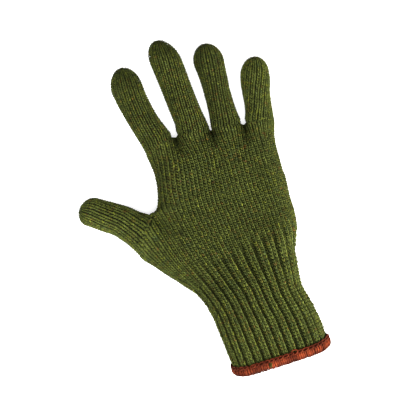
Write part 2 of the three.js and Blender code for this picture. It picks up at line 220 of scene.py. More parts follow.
def branching_rows(rows, steps, ends):
    """Rows that start on one chord and end on several, and take on the lobes of those near the end."""
    columns = sum(count for _, count in ends)
    joined, lobes = [], []
    for k, (chord, count) in enumerate(ends):
        skip = 0 if k == 0 else 1
        joined.append(row_on(chord, count, k == 0, k == len(ends) - 1)[skip:])
        lobes.append(row_on(chord, count)[skip:])
    joined = np.concatenate(joined)
    lobes = np.concatenate(lobes)
    top = chord_at(rows, [1.0])[0]
    start, across = top[:2], top[2:4] - top[:2]
    shares = (joined[:, :2] - start) @ across / (across @ across)
    bends = joined[:, :2] - start - shares[:, None] * across
    found = []
    for t, chord in zip(steps, chord_at(rows, steps)):
        row = row_on(chord, columns)
        width = chord[2:4] - chord[:2]
        share = (row[:, 0] - chord[LX]) / width[0]
        share = share + (shares - share) * t
        row[:, :2] = chord[:2] + share[:, None] * width + t * bends
        back = (top[:2] + top[2:4] - chord[:2] - chord[2:4]) / 2
        lobe = lobes.copy()
        lobe[:, :2] -= back
        lobed = max(0.0, (t - LOBES_FROM) / (1 - LOBES_FROM)) ** 2
        found.append(row + (lobe - row) * lobed)
    return np.array(found)


def crotch_rounding(radius, along):
    """How far an outline draws in at a distance along from its crotch, to round it."""
    if radius == 0:
        return 0.0
    half_width = math.sqrt(max(0.0, radius**2 - max(0.0, radius - along) ** 2))
    return max(0.0, half_width - CROTCH_SLOPE * along)


def digit_rows(chords, tip, columns, steps, crotches):
    """Rows of a digit: steps 0 to 1 lie on its chords, 1 to 2 run over its rounded tip."""
    last = chord_at(chords, [1.0])[0]
    middle = (last[:2] + last[2:4]) / 2
    base = (chords[0, :2] + chords[0, 2:4]) / 2
    length = math.hypot(*(middle - base))
    end = row_on(last, columns)
    found = []
    for t in steps:
        if t <= 1:
            chord = chord_at(chords, [t])[0]
            across = unit(chord[2:4] - chord[:2])
            chord[:2] += across * crotch_rounding(crotches[0], t * length)
            chord[2:4] -= across * crotch_rounding(crotches[1], t * length)
            found.append(row_on(chord, columns))
            continue
        angle = (t - 1) * math.pi / 2
        row = end.copy()
        centre = middle + (np.array(tip) - middle) * math.sin(angle)
        row[:, :2] = centre + (row[:, :2] - middle) * math.cos(angle)
        row[:, 4] *= math.cos(angle)
        found.append(row)
    return np.array(found)


THUMB_CROTCH = PALM[0, :2]
CROTCH_FILL = 1.2  # how far the cloth reaches up into the crotch
CROTCH_REACH = 4.2
WEB_RISE = 0.45  # share of the height over it that the cloth's valley rises by
WEB_REACH = 8.0


def crotch_fill(x, y):
    """How far the cloth at the thumb's crotch reaches up, which rounds it."""
    away = np.hypot(x - THUMB_CROTCH[0], y - THUMB_CROTCH[1]) / CROTCH_REACH
    return CROTCH_FILL * np.clip(1 - away, 0, 1) ** 2


def web_height(x, y):
    """How high the cloth bridges the valley at the thumb's crotch, as a share of the height over it."""
    away = np.hypot(x - THUMB_CROTCH[0], y - THUMB_CROTCH[1]) / WEB_REACH
    return WEB_RISE * np.clip(1 - away**2, 0, 1) ** 2


def points_of(places, upper):
    """Points on the back of the glove (upper) or on the side that it rests on."""
    x, y, thick, lift, height = np.moveaxis(places, -1, 0)
    height = height + web_height(x, y) * (1 - height) ** 2
    mid = MID_SHARE * thick
    z = mid + (thick - mid) * height if upper else np.maximum(0, mid - (mid + PRESSED) * height)
    near = np.clip(1 - (y - CUFF[0][LY]) / LEAN_LENGTH, 0, 1)
    lean = MOUTH_LEAN * near * near * (3 - 2 * near) * (z / mid - 1)
    return np.stack([x, y - lean + crotch_fill(x, y), z + lift], axis=-1)


class Patch:
    """A tube of cloth as a grid of points, columns round it and rows along it, with its outward normals."""

    def __init__(self, places, courses):
        upper = points_of(places, True)
        lower = points_of(places, False)
        self.grid = np.concatenate([upper[:, :-1], lower[:, :0:-1]], axis=1)
        self.columns = self.grid.shape[1] / FINE
        self.courses = courses
        round_it = np.roll(self.grid, -1, 1) - np.roll(self.grid, 1, 1)
        along = np.gradient(self.grid, axis=0)
        normals = np.cross(round_it, along)
        normals = (normals + np.roll(normals, 1, 1) + np.roll(normals, -1, 1)) / 3
        self.normals = unit(normals)

    def at(self, column, course):
        """Points and normals at columns and courses. Past the ends the cloth runs straight on."""
        rows, columns = self.grid.shape[:2]
        c = np.mod(column * FINE, columns)
        r = course * ROWS
        c0 = np.floor(c).astype(int) % columns
        c1 = (c0 + 1) % columns
        r0 = np.clip(np.floor(r).astype(int), 0, rows - 2)
        fc = (c - np.floor(c))[..., None]
        fr = (r - r0)[..., None]
        held = np.clip(fr, 0, 1)

        def mixed(values, f):
            low = values[r0, c0] * (1 - fc) + values[r0, c1] * fc
            high = values[r0 + 1, c0] * (1 - fc) + values[r0 + 1, c1] * fc
            return low * (1 - f) + high * f

        return mixed(self.grid, fr), unit(mixed(self.normals, held))


def unit(vectors):
    return vectors / np.maximum(np.linalg.norm(vectors, axis=-1, keepdims=True), 1e-9)


def patch_of(rows_at, pitch, end=1.0):
    """A patch with steps for its rows so that the courses along the top are a pitch apart, from 0 to end."""
    fine = np.linspace(0, end, 121)
    rows = points_of(rows_at(fine), True)
    middle = rows[:, rows.shape[1] // 2]
    lengths = np.concatenate([[0], np.cumsum(np.linalg.norm(np.diff(middle, axis=0), axis=1))])
    courses = max(1, round(lengths[-1] / pitch))
    steps = np.interp(np.linspace(0, lengths[-1], courses * ROWS + 1), lengths, fine)
    patch = Patch(rows_at(steps), courses)
    patch.steps = steps
    return patch


def course_of(patch, step):
    """The course at which a patch reaches a step, whole."""
    return round(float(np.interp(step, patch.steps, np.arange(len(patch.steps)))) / ROWS)


cuff = patch_of(
    lambda steps: np.array([row_on(c, CUFF_COLUMNS * FINE) for c in chord_at(CUFF, steps)]), CUFF_COURSE
)
heel = patch_of(
    lambda steps: branching_rows(
        HEEL, steps, [(THUMB[0], COLUMNS["thumb"] * FINE), (PALM[0], PALM_COLUMNS * FINE)]
    ),
    PALM_COURSE,
)
palm = patch_of(
    lambda steps: branching_rows(PALM, steps, [(DIGITS[n][0], COLUMNS[n] * FINE) for n in FINGERS]),
    PALM_COURSE,
)


def digit_patch(name):
    def rows_at(steps):
        return digit_rows(DIGITS[name], TIPS[name], COLUMNS[name] * FINE, steps, CROTCHES[name])

    return patch_of(rows_at, DIGIT_COURSE, 1 + TIP_ENDS)


digits = {name: digit_patch(name) for name in DIGITS}

# The pattern's place in the frame, from the digits' boxes there.
outer_x = [digits["thumb"].grid[..., 0].min(), digits["little"].grid[..., 0].max()]
frame_x = [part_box("thumb")[0].x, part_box("little_finger")[1].x]
PATTERN_AT = np.array([
    sum(frame_x) / 2 - sum(outer_x) / 2 * MM,
    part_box("middle_finger")[1].y - TIPS["middle"][1] * MM,
    0.0,
])


def add_object(name, data):
    obj = bpy.data.objects.new(name, data)
    bpy.context.scene.collection.objects.link(obj)
    return obj


class Build:
    """Collects quads of points with a tint and yarn coordinates, and makes them one mesh object."""

    def __init__(self):
        self.points, self.quads, self.tints, self.yarn = [], [], [], []
        self.count = 0

    def add_grid(self, points, tint, yarn=0, closed=False):
        """Joins neighbouring points, given as (..., rows, across, 3). closed joins the last to the first."""
        shape = points.shape
        flat = points.reshape(-1, shape[-3], shape[-2], 3)
        n, rows, across = flat.shape[:3]
        index = np.arange(n * rows * across).reshape(n, rows, across) + self.count
        right = np.roll(index, -1, 2) if closed else index[:, :, 1:]
        left = index if closed else index[:, :, :-1]
        quads = np.stack([left[:, :-1], right[:, :-1], right[:, 1:], left[:, 1:]], axis=-1)
        self.points.append(flat.reshape(-1, 3))
        self.quads.append(quads.reshape(-1, 4))
        self.tints.append(np.broadcast_to(tint, (n, rows, across, 3)).reshape(-1, 3))
        self.yarn.append(np.broadcast_to(yarn, (n, rows, across, 2)).reshape(-1, 2))
        self.count += n * rows * across

    def made(self, name, material):
        points, quads, tints, yarn = map(np.concatenate, (self.points, self.quads, self.tints, self.yarn))
        points[:, 2] = np.maximum(points[:, 2], 0)
        points = points * MM + PATTERN_AT
        mesh = bpy.data.meshes.new(name)
        mesh.vertices.add(len(points))
        mesh.vertices.foreach_set("co", points.astype(np.float32).ravel())
        mesh.loops.add(quads.size)
        mesh.loops.foreach_set("vertex_index", quads.astype(np.int32).ravel())
        mesh.polygons.add(len(quads))
        mesh.polygons.foreach_set("loop_start", np.arange(0, quads.size, 4, dtype=np.int32))
        mesh.polygons.foreach_set("use_smooth", np.ones(len(quads), bool))
        mesh.update(calc_edges=True)
        colours = mesh.color_attributes.new("tint", "FLOAT_COLOR", "POINT")
        full = np.concatenate([tints, np.ones((len(tints), 1))], axis=1)
        colours.data.foreach_set("color", full.astype(np.float32).ravel())
        layer = mesh.uv_layers.new(name="yarn")
        layer.data.foreach_set("uv", yarn[quads.ravel()].astype(np.float32).ravel())
        mesh.materials.append(material)
        return add_object(name, mesh)


def tube(centres, normals, radius, angles):
    """Points round centre lines (n, stations, 3), at angles from one side over the top to the other."""
    ahead = unit(np.gradient(centres, axis=1))
    side = unit(np.cross(ahead, normals))
    up = np.cross(side, ahead)
    offsets = (
        np.cos(angles)[:, None] * side[:, :, None, :] + np.sin(angles)[:, None] * up[:, :, None, :]
    )
    return centres[:, :, None, :] + radius[..., None, None] * offsets


def twist_of(along, turns, count, angles):
    """Yarn coordinates of count strands: along the twist, from any place within these turns, and round it."""
    yarn = np.zeros((count, len(along), len(angles), 2))
    yarn[..., 0] = along[:, None] + turns * rng.random((count, 1, 1))
    yarn[..., 1] = angles / (2 * math.pi)
    return yarn


def plain(wale, course):
    return np.zeros_like(wale)


class Knit:
    """How a patch is knitted: its wales round the tube, the column that each runs on, and its ribs.

    columns gives the column of a wale at a course. relief is the height of the ribs, and shade changes the
    yarn's tint with the ribs' painted light and shade. spread is 1 where the cloth is stretched, so that the
    legs of a stitch lie apart. ground is the painted shade of the cloth under the yarn, and bright multiplies
    the yarn's tint, as painted light and shade on the digits.
    """

    def __init__(
        self, patch, wales, columns, relief=plain, shade=None, spread=plain, ground=0.44, bright=1.0
    ):
        self.patch, self.wales, self.columns = patch, wales, columns
        self.relief, self.shade, self.spread = relief, shade, spread
        self.ground, self.bright = ground, bright


# Columns, in a rib, of the lines between its two raised wales and its sunk one.
RIB_LINES = np.array([0.33, 1.5, 2.67, 3.33])


def rib_columns(wale, fade):
    """Columns of wales in ribs: of each three, two are raised and wide, and a narrow one lies sunk."""
    rib = np.floor(wale / RIB_WALES)
    within = wale - rib * RIB_WALES
    moved = np.interp(within, np.arange(RIB_WALES + 1), RIB_LINES)
    return rib * RIB_WALES + within + (moved - within) * fade


# The relief of a rib, by shares of its width.
RIB_SHARES = [0, 0.09, 0.22, 0.45, 0.78, 0.90, 1]
RIB_RISES = [-GROOVE, -GROOVE * 0.7, 0.75, 0.85, RIB_RELIEF, -GROOVE * 0.5, -GROOVE]


def rib_height(column, fade):
    """Relief over the cloth: sunk in the groove, raised on the wales between, highest on their right."""
    within = np.mod(column, RIB_WALES) / RIB_WALES
    return np.interp(within, RIB_SHARES, RIB_RISES) * fade


# Painted light and shade on the legs of a rib's three wales: painted bright on the raised pair, painted dark
# on the sunk wale.
RIB_RIGHT_PAINTED_LIGHT = np.array([1.18, 1.50, 0.66])
RIB_LEFT_PAINTED_LIGHT = np.array([1.18, 1.22, 0.70])


def rib_painted_light(wale, fade, right_leg):
    """Painted light: the raised pair's last leg is painted as a clean bright line, and the sunk wale is
    painted dull, as shade in the groove.
    """
    kind = np.mod(np.floor(wale + 1e-6), RIB_WALES).astype(int)
    painted_levels = RIB_RIGHT_PAINTED_LIGHT if right_leg else RIB_LEFT_PAINTED_LIGHT
    return 1 + (painted_levels[kind] - 1) * fade


HEEL_WALES = 2 * (THUMB_WALES + PALM_COLUMNS)
THUMB_RATIO = COLUMNS["thumb"] / THUMB_WALES


def heel_number(wale):
    """The heel's wales in the cuff's numbers: the thumb's on each side of its edge, the palm's between."""
    w = np.mod(wale, HEEL_WALES)
    on_palm = w - THUMB_WALES + COLUMNS["thumb"]
    back = 2 * CUFF_COLUMNS - (HEEL_WALES - w) * THUMB_RATIO
    return np.where(w < THUMB_WALES, w * THUMB_RATIO, np.where(w <= HEEL_WALES - THUMB_WALES, on_palm, back))


def heel_wale(number):
    """The heel's wale that has this number."""
    start, end = COLUMNS["thumb"], 2 * CUFF_COLUMNS - COLUMNS["thumb"]
    on_palm = number + THUMB_WALES - COLUMNS["thumb"]
    back = HEEL_WALES - (2 * CUFF_COLUMNS - number) / THUMB_RATIO
    return np.where(number < start, number / THUMB_RATIO, np.where(number <= end, on_palm, back))


class Flow:
    """The column of each wale line of a patch at every course. The palm side mirrors the back."""

    def __init__(self, patch, lines):
        self.patch, self.lines = patch, lines

    def at(self, wale, course):
        courses, count = self.lines.shape
        total = 2 * (count - 1)
        w = np.mod(wale, total)
        below = w > total / 2
        w = np.where(below, total - w, w)
        w0 = np.clip(np.floor(w).astype(int), 0, count - 2)
        c = np.clip(course, 0, courses - 1.001)
        c0 = np.floor(c).astype(int)
        fw, fc = w - w0, c - c0
        low = self.lines[c0, w0] * (1 - fw) + self.lines[c0, w0 + 1] * fw
        high = self.lines[c0 + 1, w0] * (1 - fw) + self.lines[c0 + 1, w0 + 1] * fw
        column = low * (1 - fc) + high * fc
        return np.where(below, self.patch.columns - column, column)


EASE = 1.3  # the heel's wales turn towards the thumb early, then run straight
PASSES = 150
LAST_PASSES = 30
LARGEST_MOVE = 0.2  # columns, in one pass
LEAST_ACROSS = 0.1  # of the squared width of a column, so that narrow ones don't count for more
CLOSEST = 0.86  # columns between wales near an edge, at the least
CUFF_FREE_COURSES = 13  # the cuff's wales are even up to this many courses from its end
EDGE_WALES = 7  # near an edge the wales follow it, and from this many wales in they run straight


def smooth_step(t):
    t = np.clip(t, 0, 1)
    return t * t * (3 - 2 * t)


def back_rows(patch):
    """x and y of the back's places, at every course and grid column. The palm's follow the thumb's."""
    half = patch.grid.shape[1] // 2
    rows = patch.grid[::ROWS, : half + 1, :2]
    return np.pad(rows, ((0, 0), (CUFF_COLUMNS * FINE - half, 0), (0, 0)), mode="edge")


def places_at(rows, columns):
    """Places on the rows at these columns, and the way from one column to the next there."""
    c = np.clip(columns * FINE, 0, rows.shape[1] - 1.001)
    c0 = np.floor(c).astype(int)
    row = np.arange(len(rows))[:, None]
    low, high = rows[row, c0], rows[row, c0 + 1]
    return low + (high - low) * (c - c0)[..., None], (high - low) * FINE


def straightened(rows, columns, held, limits, passes):
    """Lines over the rows, made straighter between their ends, which stay.

    held is 1 where a line doesn't move. limits gives the lowest and highest column that a line may have, so
    that none crowd at the glove's edges.
    """
    columns = columns.copy()
    for _ in range(passes):
        places, across = places_at(rows, columns)
        gaps = np.linalg.norm(np.diff(places, axis=0), axis=-1)[..., None]
        before, after = gaps[:-1], gaps[1:]
        middle = (places[:-2] * after + places[2:] * before) / (before + after)
        across = across[1:-1]
        off = ((middle - places[1:-1]) * across).sum(-1)
        off /= np.maximum((across**2).sum(-1), LEAST_ACROSS)
        columns[1:-1] += (off / 2).clip(-LARGEST_MOVE, LARGEST_MOVE) * (1 - held[1:-1])
        columns[1:-1] = columns[1:-1].clip(limits[0][1:-1], limits[1][1:-1])
    return columns


def eased_heel_columns(numbers):
    """The heel's lines before they are straightened: their shares of the width ease into those at its end."""
    rows = back_rows(heel)
    x = places_at(rows, np.tile(numbers, (len(rows), 1)))[0][..., 0]
    left, right = rows[:, :1, 0], rows[:, -1:, 0]
    shares = (x - left) / (right - left)
    t = heel.steps[::ROWS, None]
    x = x + (1 - (1 - t) ** EASE - t) * (shares[-1] - shares[0]) * (right - left)
    every = np.arange(rows.shape[1]) / FINE
    return np.array([np.interp(line, row, every) for line, row in zip(x, rows[..., 0])])


def knuckle_columns():
    """Columns of the palm's wales at its end: each finger's, and one that ends in the crotch beside it."""
    found, start = [], COLUMNS["thumb"]
    for name in FINGERS:
        found.extend(start + np.linspace(0, COLUMNS[name], WALES[name] + 1))
        start += COLUMNS[name]
    return np.append(found, start)


# The wales lean left as they leave the cuff and come back over the heel: millimetres to the left along y.
LEAN_Y = [50, 65, 80, 90, 100, 110, 120, 135, 150, 170, 184]
LEAN_LEFT = [0, 0.6, 3.6, 4.2, 2.6, 0.6, -0.8, -2, -2.6, -2, 0]
# Under the index finger they lean right, then turn into it: millimetres to the right along y.
INDEX_LEAN_Y = [128, 145, 160, 170, 178, 184]
INDEX_LEAN = [0, 0.9, 2.2, 2.8, 2, 0]
INDEX_SHARE = 0.22  # of the palm's width, where they lean most
INDEX_WIDTH = 0.17
LEAN_BIAS = 1.3  # less the share of the width: the lean is larger on the left
LEAN_SCALE = 0.84
LEAST_WIDTH = 0.5  # of a column


def leaned(rows, columns, first):
    """Lines moved left or right by where they are, and not at the glove's edges."""
    places, across = places_at(rows, columns)
    left, right = rows[:, first * FINE, :1], rows[:, -1, :1]
    share = (places[..., 0] - left) / (right - left)
    kept = np.sin(math.pi * share.clip(0, 1)) * (LEAN_BIAS - share) / LEAN_SCALE
    left_by = np.interp(places[..., 1], LEAN_Y, LEAN_LEFT) * kept
    if first:
        near = np.exp(-(((share - INDEX_SHARE) / INDEX_WIDTH) ** 2)) * np.sin(math.pi * share.clip(0, 0.5))
        near /= math.sin(math.pi * INDEX_SHARE)
        left_by -= np.interp(places[..., 1], INDEX_LEAN_Y, INDEX_LEAN) * near
    return columns - left_by / np.maximum(across[..., 0], LEAST_WIDTH)


def run_of(patches, columns, numbers, firsts):
    """One set of lines straightened over several patches: the columns on each, from its first course on."""
    rows = np.concatenate([back_rows(patch)[1 if k else 0 :] for k, patch in enumerate(patches)])
    lengths = [patch.courses + (0 if k else 1) for k, patch in enumerate(patches)]
    first = np.repeat(firsts, lengths)[:, None]
    held = 1 - smooth_step(np.minimum(numbers - first, CUFF_COLUMNS - numbers) / EDGE_WALES)
    from_cuff = np.arange(len(rows)) - patches[0].courses + CUFF_FREE_COURSES
    held = 1 - (1 - held) * smooth_step(from_cuff / CUFF_FREE_COURSES)[:, None]
    lowest = first + CLOSEST * (numbers - first)
    highest = np.broadcast_to(CUFF_COLUMNS - CLOSEST * (CUFF_COLUMNS - numbers), lowest.shape)
    lines = straightened(rows, np.concatenate(columns), held, (lowest, highest), PASSES)
    leans = [leaned(rows[first[:, 0] == f], lines[first[:, 0] == f], f) for f in dict.fromkeys(firsts)]
    lines = straightened(rows, np.concatenate(leans), held, (lowest, highest), LAST_PASSES)
    ends = np.cumsum(lengths)
    starts = np.maximum(ends - lengths - 1, 0)
    return [lines[start:end] for start, end in zip(starts, ends)]


def make_flows():
    thumb_numbers = np.arange(THUMB_WALES) * THUMB_RATIO
    palm_numbers = np.arange(COLUMNS["thumb"], CUFF_COLUMNS + 1.0)
    numbers = np.concatenate([thumb_numbers, palm_numbers])
    eased = eased_heel_columns(numbers)
    on_cuff = np.tile(numbers, (cuff.courses + 1, 1))
    on_palm = np.tile(palm_numbers, (palm.courses, 1))
    on_palm[-1] = knuckle_columns()
    on_cuff_t, on_heel_t = run_of(
        [cuff, heel], [on_cuff[:, :THUMB_WALES], eased[1:, :THUMB_WALES]], thumb_numbers, [0, 0]
    )
    on_cuff_p, on_heel_p, on_palm = run_of(
        [cuff, heel, palm], [on_cuff[:, THUMB_WALES:], eased[1:, THUMB_WALES:], on_palm], palm_numbers,
        [0, 0, COLUMNS["thumb"]],
    )
    cuff_lines = np.concatenate([on_cuff_t, on_cuff_p], axis=1)
    cuff_numbers = np.arange(CUFF_COLUMNS + 1.0)
    cuff_lines = np.array([np.interp(cuff_numbers, numbers, row) for row in cuff_lines])
    heel_lines = np.concatenate([on_heel_t, on_heel_p], axis=1)
    return Flow(cuff, cuff_lines), Flow(heel, heel_lines), Flow(palm, on_palm - COLUMNS["thumb"])


cuff_flow, heel_flow, palm_flow = make_flows()
HEEL_RIB_COURSES = 12  # the ribs die out over these courses of the heel
RIB_RISE_COURSES = 1.2  # they start so far from the mouth, and rise over as many courses
# The stitches are stretched on the digits and near them, and close elsewhere. They change over these.
THUMB_SPREAD_WALES = 4
THUMB_SPREAD_COURSES = 12
KNUCKLE_COURSES = 12


def heel_fade(course):
    return smooth_step(1 - course / HEEL_RIB_COURSES)


def heel_columns(wale, course):
    return heel_flow.at(heel_wale(rib_columns(heel_number(wale), heel_fade(course))), course)


def heel_relief(wale, course):
    return rib_height(rib_columns(heel_number(wale), heel_fade(course)), heel_fade(course))


def heel_painted_light(wale, course, right_leg):
    return rib_painted_light(heel_number(wale), heel_fade(course), right_leg)


def heel_spread(wale, course):
    past = np.minimum(wale, HEEL_WALES - wale) - THUMB_WALES
    beside = smooth_step((THUMB_SPREAD_WALES / 2 - past) / THUMB_SPREAD_WALES)
    return beside * smooth_step(course / THUMB_SPREAD_COURSES)


def cuff_columns(wale, course):
    return cuff_flow.at(rib_columns(wale, 1.0), course)


def cuff_relief(wale, course):
    return rib_height(rib_columns(wale, 1.0), np.clip((course - RIB_RISE_COURSES) / RIB_RISE_COURSES, 0, 1))


def cuff_painted_light(wale, course, right_leg):
    return rib_painted_light(wale, 1, right_leg)


def palm_spread(wale, course):
    return smooth_step(1 - (palm.courses - course) / KNUCKLE_COURSES)


def digit_knit(name):
    def columns(wale, course):
        return wale * COLUMNS[name] / WALES[name] + DRIFT[name] * np.maximum(course, 0)

    return Knit(
        digits[name], 2 * WALES[name], columns, spread=lambda wale, course: np.ones_like(wale),
        ground=DIGIT_GROUND_SHADE[name], bright=DIGIT_PAINTED_LIGHT[name],
    )


# painted shade: the ground under each digit's yarn
DIGIT_GROUND_SHADE = by_digit(0.13, 0.2, 0.22, 0.22, 0.18)
# painted light and shade: the fingers' yarn is painted darker and the thumb's and little finger's lighter, by
# how the lamps light them
DIGIT_PAINTED_LIGHT = by_digit(1.12, 0.92, 0.93, 0.86, 1.1)
CUFF_KNIT = Knit(cuff, 2 * CUFF_COLUMNS, cuff_columns, cuff_relief, cuff_painted_light)
HEEL_KNIT = Knit(heel, HEEL_WALES, heel_columns, heel_relief, heel_painted_light, heel_spread)
PALM_KNIT = Knit(palm, 2 * PALM_COLUMNS, palm_flow.at, spread=palm_spread)
DIGIT_KNITS = {name: digit_knit(name) for name in DIGITS}


# A stitch is a V of two legs. Across is in wales and along in courses, from the V's foot to its top.
# Radius is in wales, and sunk is how far below the outer surface the leg's top lies.
# Apart is across where the cloth is stretched.
# Shade is painted light: the right leg is painted brighter, as a highlight.
LEFT_LEG = {
    "across": (0.52, 0.14), "apart": (0.34, 0.19), "along": (-0.04, 0.84),
    "radius": 0.185, "sunk": 0.2, "shade": 1.02,
}
RIGHT_LEG = {
    "across": (0.72, 0.81), "apart": (0.67, 0.80), "along": (-0.16, 1.0),
    "radius": 0.165, "sunk": 0, "shade": 1.30,
}
APART_RADIUS = 0.135
# painted highlight: the legs are painted brighter where the cloth is stretched
APART_SHADE = 1.42
RADII = (0.12, 0.8)  # the thinnest and thickest that a leg may be
DIVE = 0.65  # how far a leg's ends dive into the cloth
DIVE_SHAPE = 0.7  # under 1, so that they dive steeply
THIN_ENDS = 0.15  # share by which they are thinner
YARN_TURNS = 1.6  # of the twist along a leg
# How uneven the knitting is. Legs and whole stitches stray across, in wales.
LEG_STRAY = 0.03
STITCH_STRAY = 0.04
APART_STRAY = 0.4  # share of that where the cloth is stretched
LEG_SHIFT = 0.05  # along, in courses
LEG_LIFT = 0.05
LEG_SWELL = 0.06

# Painted shade on the back, under the crotches, near the tips and elsewhere, and painted light where the last
# value is below 0: x, y, radius and how dark. Less than 0 is lighter.
PAINTED_SHADES = np.array([
    [-56, 135.5, 4, -0.45],
    [-22.5, 186, 4.5, 0.50],
    [4.2, 183.5, 4.5, 0.48],
    [28.6, 180.5, 5, 0.38],
    [-31, 72, 12, 0.25],
    [0, 84, 20, 0.18],
    [-44, 163, 14, 0.16],
    [-38, 238, 8, 0.30],
    [-6, 252, 8, 0.28],
    [8.5, 234, 8, 0.30],
    [-33, 208, 8, 0.18],
    [-62, 108, 10, 0.08],
    [-12, 66, 16, 0.08],
    [-8, 103, 14, -0.05],
    [-4, 32, 18, -0.05],
])


def painted_shade_at(points):
    """How bright the cloth is painted at these points: painted shade under the crotches, soft painted shade
    elsewhere, and painted light where a row is below 0.
    """
    away = np.linalg.norm(points[..., None, :2] - PAINTED_SHADES[:, :2], axis=-1)
    return 1 - (PAINTED_SHADES[:, 3] * np.exp(-((away / PAINTED_SHADES[:, 2]) ** 2))).sum(-1)


STREAK_STITCHES = 5  # along a course, over which the yarn's shade changes
STREAKS = rng.normal(0, 0.09, (200, 40))  # for each course, and along it


def yarn_shade(wales, courses):
    """The yarn's own changes of shade, which run along the courses as it was knitted."""
    place = wales / STREAK_STITCHES
    k = np.floor(place).astype(int) % (STREAKS.shape[1] - 1)
    row = courses.astype(int) % len(STREAKS)
    mixed = STREAKS[row, k] + (STREAKS[row, k + 1] - STREAKS[row, k]) * (place % 1)
    return 1 + mixed[:, None]


HEATHER = 0.17  # how much strands of the heather yarn differ
HEATHER_RANGE = (0.4, 1.7)
# Strands of other hues: the shares of all between which they are, and how red, green and blue change.
BROWNER = (0.0, 0.06, [1.22, 0.92, 0.85])
YELLOWER = (0.10, 0.20, [1.4, 1.32, 0.9])
GREYER = (0.20, 0.24, [0.82, 0.9, 1.25])


def heather(count, base):
    """Tints of strands of heather yarn: most near the base, a few browner, yellower or greyer."""
    value = base * rng.normal(1.0, HEATHER, (count, 1)).clip(*HEATHER_RANGE)
    tint = np.repeat(value, 3, axis=1)
    kind = rng.random(count)
    for start, end, change in (BROWNER, YELLOWER, GREYER):
        tint[(kind > start) & (kind < end)] *= change
    return tint


def add_leg(build, knit, leg, wales, courses, pitch, shared):
    """One leg of every stitch, as bent strands of yarn."""
    count = len(wales)
    s = np.linspace(0, 1, LEG_STATIONS)
    spread = knit.spread(wales, courses)[:, None]
    ends = [a + (b - a) * spread for a, b in zip(leg["across"], leg["apart"])]
    stray = (rng.normal(0, LEG_STRAY, (count, 1)) + shared) * (1 - (1 - APART_STRAY) * spread)
    across = ends[0] + (ends[1] - ends[0]) * smooth_step(s) + stray
    start, end = leg["along"]
    along = start + (end - start) * s + rng.normal(0, LEG_SHIFT, (count, 1))
    wale = wales[:, None] + across
    course = courses[:, None] + along
    points, normals = knit.patch.at(knit.columns(wale, course), course)
    share = leg["radius"] + (APART_RADIUS - leg["radius"]) * spread[:, 0]
    radius = (share * pitch * rng.normal(1, LEG_SWELL, count)).clip(*RADII)[:, None]
    bow = np.sin(s * math.pi)
    top = -leg["sunk"] * (1 - spread) - DIVE * (1 - bow**DIVE_SHAPE) + rng.normal(0, LEG_LIFT, (count, 1))
    centres = points + normals * (top - radius + knit.relief(wale, course))[..., None]
    strands = tube(centres, normals, radius * (1 - THIN_ENDS * (1 - bow)), LEG_ACROSS)
    yarn = twist_of(s * YARN_TURNS, YARN_TURNS, count, LEG_ACROSS)
    # painted highlight on the right and stretched legs, times each digit's painted light and shade and the
    # yarn's own streaks
    value = (leg["shade"] + (APART_SHADE - leg["shade"]) * spread) * knit.bright * yarn_shade(wales, courses)
    # painted light and shade of the ribs
    if knit.shade:
        value = value * knit.shade(wales, courses, leg is RIGHT_LEG)[:, None]
    # painted shade round each leg, darker where it lies against its neighbours
    tints = heather(count, value)[:, None, None, :] * LEG_PAINTED_SHADE[:, None]
    # painted shade and painted light by place on the back
    build.add_grid(strands, tints * painted_shade_at(centres)[:, :, None, None], yarn)


def add_stitches(build, knit, first, last):
    """Both legs of every stitch from course first up to last."""
    wales, courses = np.meshgrid(np.arange(knit.wales), np.arange(first, last), indexing="ij")
    wales, courses = wales.ravel().astype(float), courses.ravel().astype(float)
    here, _ = knit.patch.at(knit.columns(wales + 0.1, courses + 0.5), courses + 0.5)
    beside, _ = knit.patch.at(knit.columns(wales + 0.9, courses + 0.5), courses + 0.5)
    pitch = np.linalg.norm(beside - here, axis=1) / 0.8
    shared = rng.normal(0, STITCH_STRAY, (len(wales), 1))
    for leg in (LEFT_LEG, RIGHT_LEG):
        add_leg(build, knit, leg, wales, courses, pitch, shared)


def add_skin(build, knit, first, last, close=False):
    """The ground under the yarn and the inside of the cloth, from course first to last. close ends a tip."""
    rows = np.linspace(first - SKIN_BEFORE, last + SKIN_PAST, 2 * (last - first) + 1)
    wales, courses = np.meshgrid(np.arange(0, knit.wales, 0.5), rows)
    points, normals = knit.patch.at(knit.columns(wales, courses), courses)
    pitch = np.linalg.norm(np.roll(points, -1, 1) - np.roll(points, 1, 1), axis=-1)
    depth = SKIN * (SKIN_LEAST + (1 - SKIN_LEAST) * np.minimum(pitch / SKIN_PITCH, 1))
    relief = knit.relief(wales, courses)
    outer = points + normals * (np.maximum(relief, relief * GROOVE_SKIN) - depth)[..., None]
    inner = (points - normals * WALL)[::2, ::2]
    # painted shade of the ground under the yarn, painted lighter on raised ribs and darker in grooves, times
    # the painted shade by place
    ground = knit.ground * ((1 + RIB_GROUND_PAINTED_LIGHT * relief) * painted_shade_at(outer))[None, :, :, None]
    build.add_grid(outer[None], ground, closed=True)
    build.add_grid(inner[::-1], INSIDE_TINT, closed=True)
    if close:
        for ring, turned in ((outer[-1], False), (inner[-1], True)):
            middle = np.broadcast_to(ring.mean(0), ring.shape)
            rings = np.stack([middle, ring] if turned else [ring, middle])
            build.add_grid(rings, TIP_TINT, closed=True)


# Materials.
ROUGH, SPECULAR, SHEEN_ROUGH = 0.9, 0.06, 0.6
# Scale, detail and roughness.
FINE_NOISE, BROAD_NOISE, FUZZ_NOISE = (950, 3, 0.65), (330, 2, 0.7), (2600, 4, 0.7)
DARK_AT, BRIGHT_AT = 0.34, 0.67  # of the fine noise
FLECK_SOFT = 0.1
BUMP_DEPTH = 0.0004


